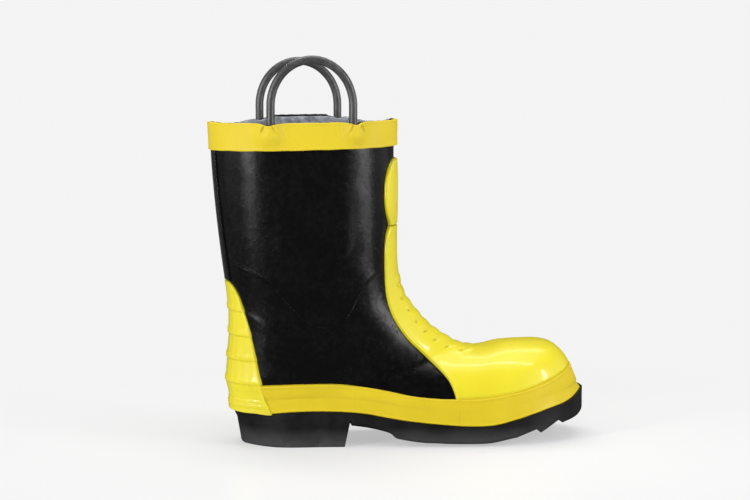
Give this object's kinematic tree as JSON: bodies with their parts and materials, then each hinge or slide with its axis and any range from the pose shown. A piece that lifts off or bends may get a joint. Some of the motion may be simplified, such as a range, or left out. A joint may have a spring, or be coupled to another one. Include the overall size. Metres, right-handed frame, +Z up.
{
  "type": "rubber fire boot",
  "caption": "Black and yellow rubber firefighting boot for the right foot, with pull-on handles, padded shin, ribbed heel guard and cleated sole.",
  "frame": {"origin": "middle of the bounding box, on the surface that the sole stands on", "axes": "+X towards the toe, +Y towards the medial (inner) side, +Z up the shaft"},
  "size_m": [0.3294, 0.1338, 0.3335],
  "materials": {
    "black_rubber": "satin",
    "handle_rubber": "satin",
    "sole_rubber": "matte",
    "yellow_rubber": "glossy",
    "yellow_foxing": "satin",
    "yellow_band": "fabric-textured matte",
    "lining_felt": "matte felt",
    "footbed_foam": "matte",
    "canvas_ply": "matte",
    "pad_foam": "matte foam",
    "fibreboard": "matte",
    "steel": "plain"
  },
  "bodies": {
    "boot": {"upper_shell": "black_rubber", "lining": "lining_felt", "rim_bead": "black_rubber", "collar_band": "yellow_band", "shin_guard": "yellow_rubber", "toe_instep_cover": "yellow_rubber", "back_strip": "black_rubber", "heel_guard": "yellow_rubber", "foxing_toe": "yellow_foxing", "foxing_side_lateral": "yellow_foxing", "foxing_side_medial": "yellow_foxing", "foxing_heel_lateral": "yellow_foxing", "foxing_heel_medial": "yellow_foxing", "outsole": "sole_rubber", "heel_block": "sole_rubber", "footbed": "footbed_foam", "insole_board": "fibreboard", "puncture_plate": "steel", "steel_toe_cap": "steel", "toe_cap_edge_strip": "black_rubber", "heel_counter": "fibreboard", "ankle_ply_lateral": "canvas_ply", "ankle_ply_medial": "canvas_ply", "ankle_pad_lateral": "pad_foam", "ankle_pad_medial": "pad_foam", "handle_root_lateral_back": "handle_rubber", "handle_root_lateral_front": "handle_rubber", "handle_root_medial_back": "handle_rubber", "handle_root_medial_front": "handle_rubber"},
    "handle_lateral": {"pull_handle_lateral": "handle_rubber"},
    "handle_medial": {"pull_handle_medial": "handle_rubber"}
  },
  "joints": [
    {"name": "lateral_handle_flex", "type": "hinge", "parent": "boot", "child": "handle_lateral", "pos_m": [-0.0813, -0.0578, 0.284], "axis": [1, 0, 0], "range_deg": [-75, 80], "stiffness_Nm_per_rad": 0.05},
    {"name": "medial_handle_flex", "type": "hinge", "parent": "boot", "child": "handle_medial", "pos_m": [-0.0813, 0.0578, 0.284], "axis": [-1, 0, 0], "range_deg": [-75, 80], "stiffness_Nm_per_rad": 0.05}
  ]
}
